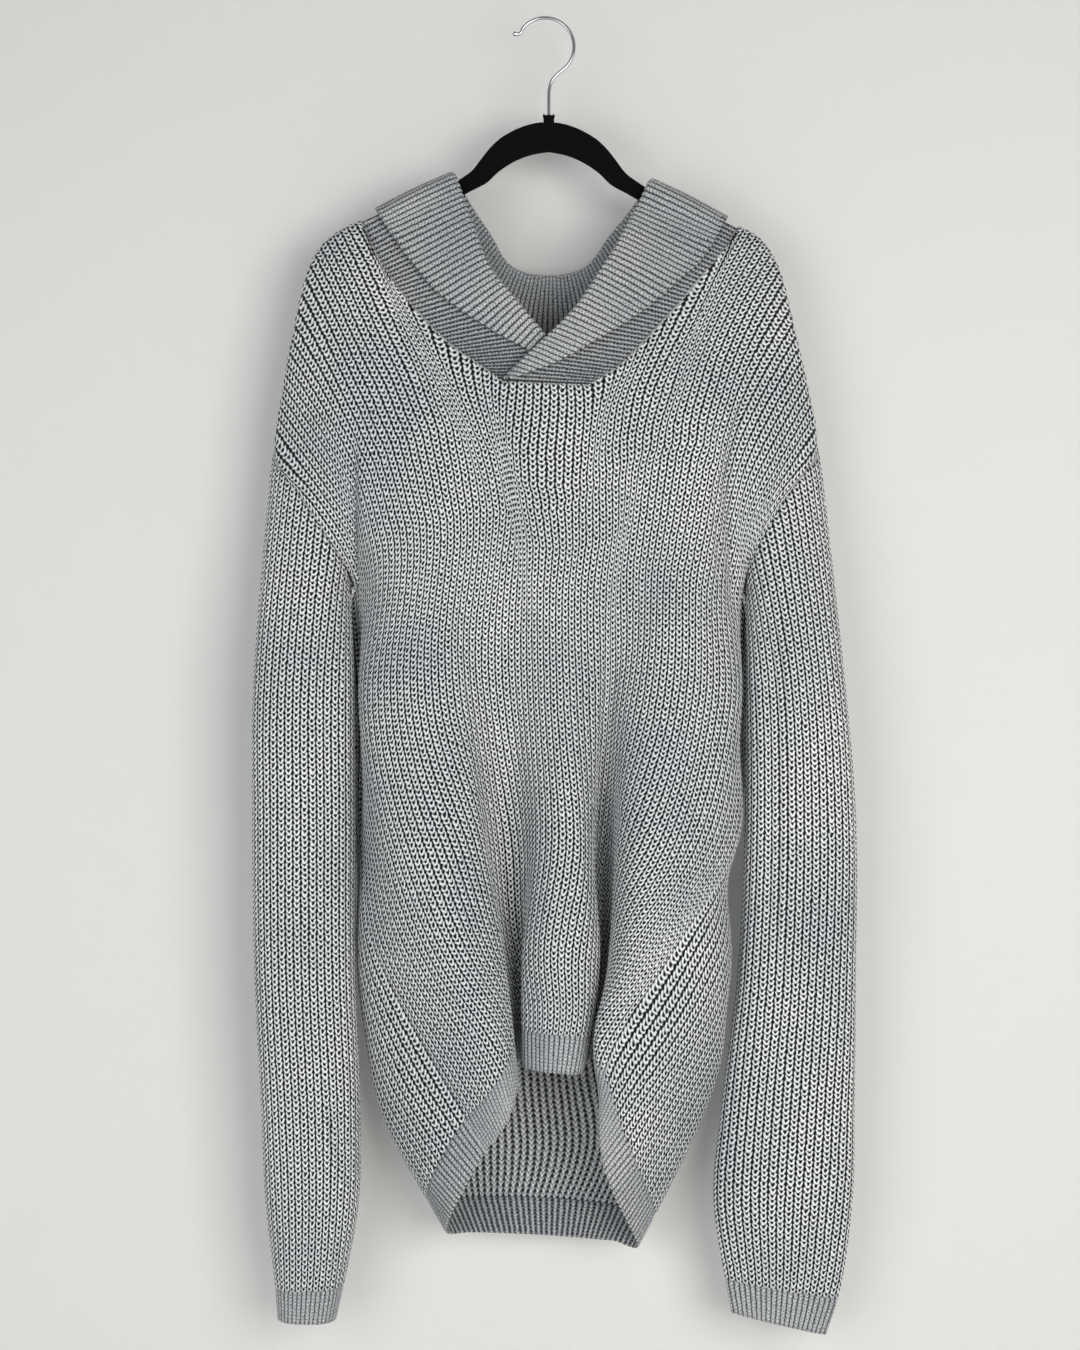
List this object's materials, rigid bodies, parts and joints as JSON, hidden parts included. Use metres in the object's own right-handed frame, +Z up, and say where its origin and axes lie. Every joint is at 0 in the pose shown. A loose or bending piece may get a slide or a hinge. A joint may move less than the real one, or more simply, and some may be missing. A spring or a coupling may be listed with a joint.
{
  "type": "tunic sweater on a clothes hanger",
  "caption": "Oversized knitted tunic with a folded shawl collar, drop sleeves and a draped front, hanging on a slim flocked hanger with a wire hook.",
  "frame": {"origin": "inside of the hook's top, where a rail carries the hanger", "axes": "+Z up, the front of the sweater faces -Y, +X to the viewer's right"},
  "size_m": [0.5542, 0.1497, 1.2119],
  "materials": {
    "knit": "marled grey shaker rib, matt",
    "fine_rib": "marled grey fine rib, matt",
    "flock": "black velvet flock",
    "chrome": "bright chromed wire"
  },
  "bodies": {
    "root": {"front": "knit", "back": "knit", "sleeve_left": "knit", "sleeve_right": "knit", "collar": "fine_rib", "hem_band_front": "fine_rib", "hem_band_back": "fine_rib", "cuff_left": "fine_rib", "cuff_right": "fine_rib", "hanger_body": "flock", "hanger_hook": "chrome"}
  },
  "joints": []
}
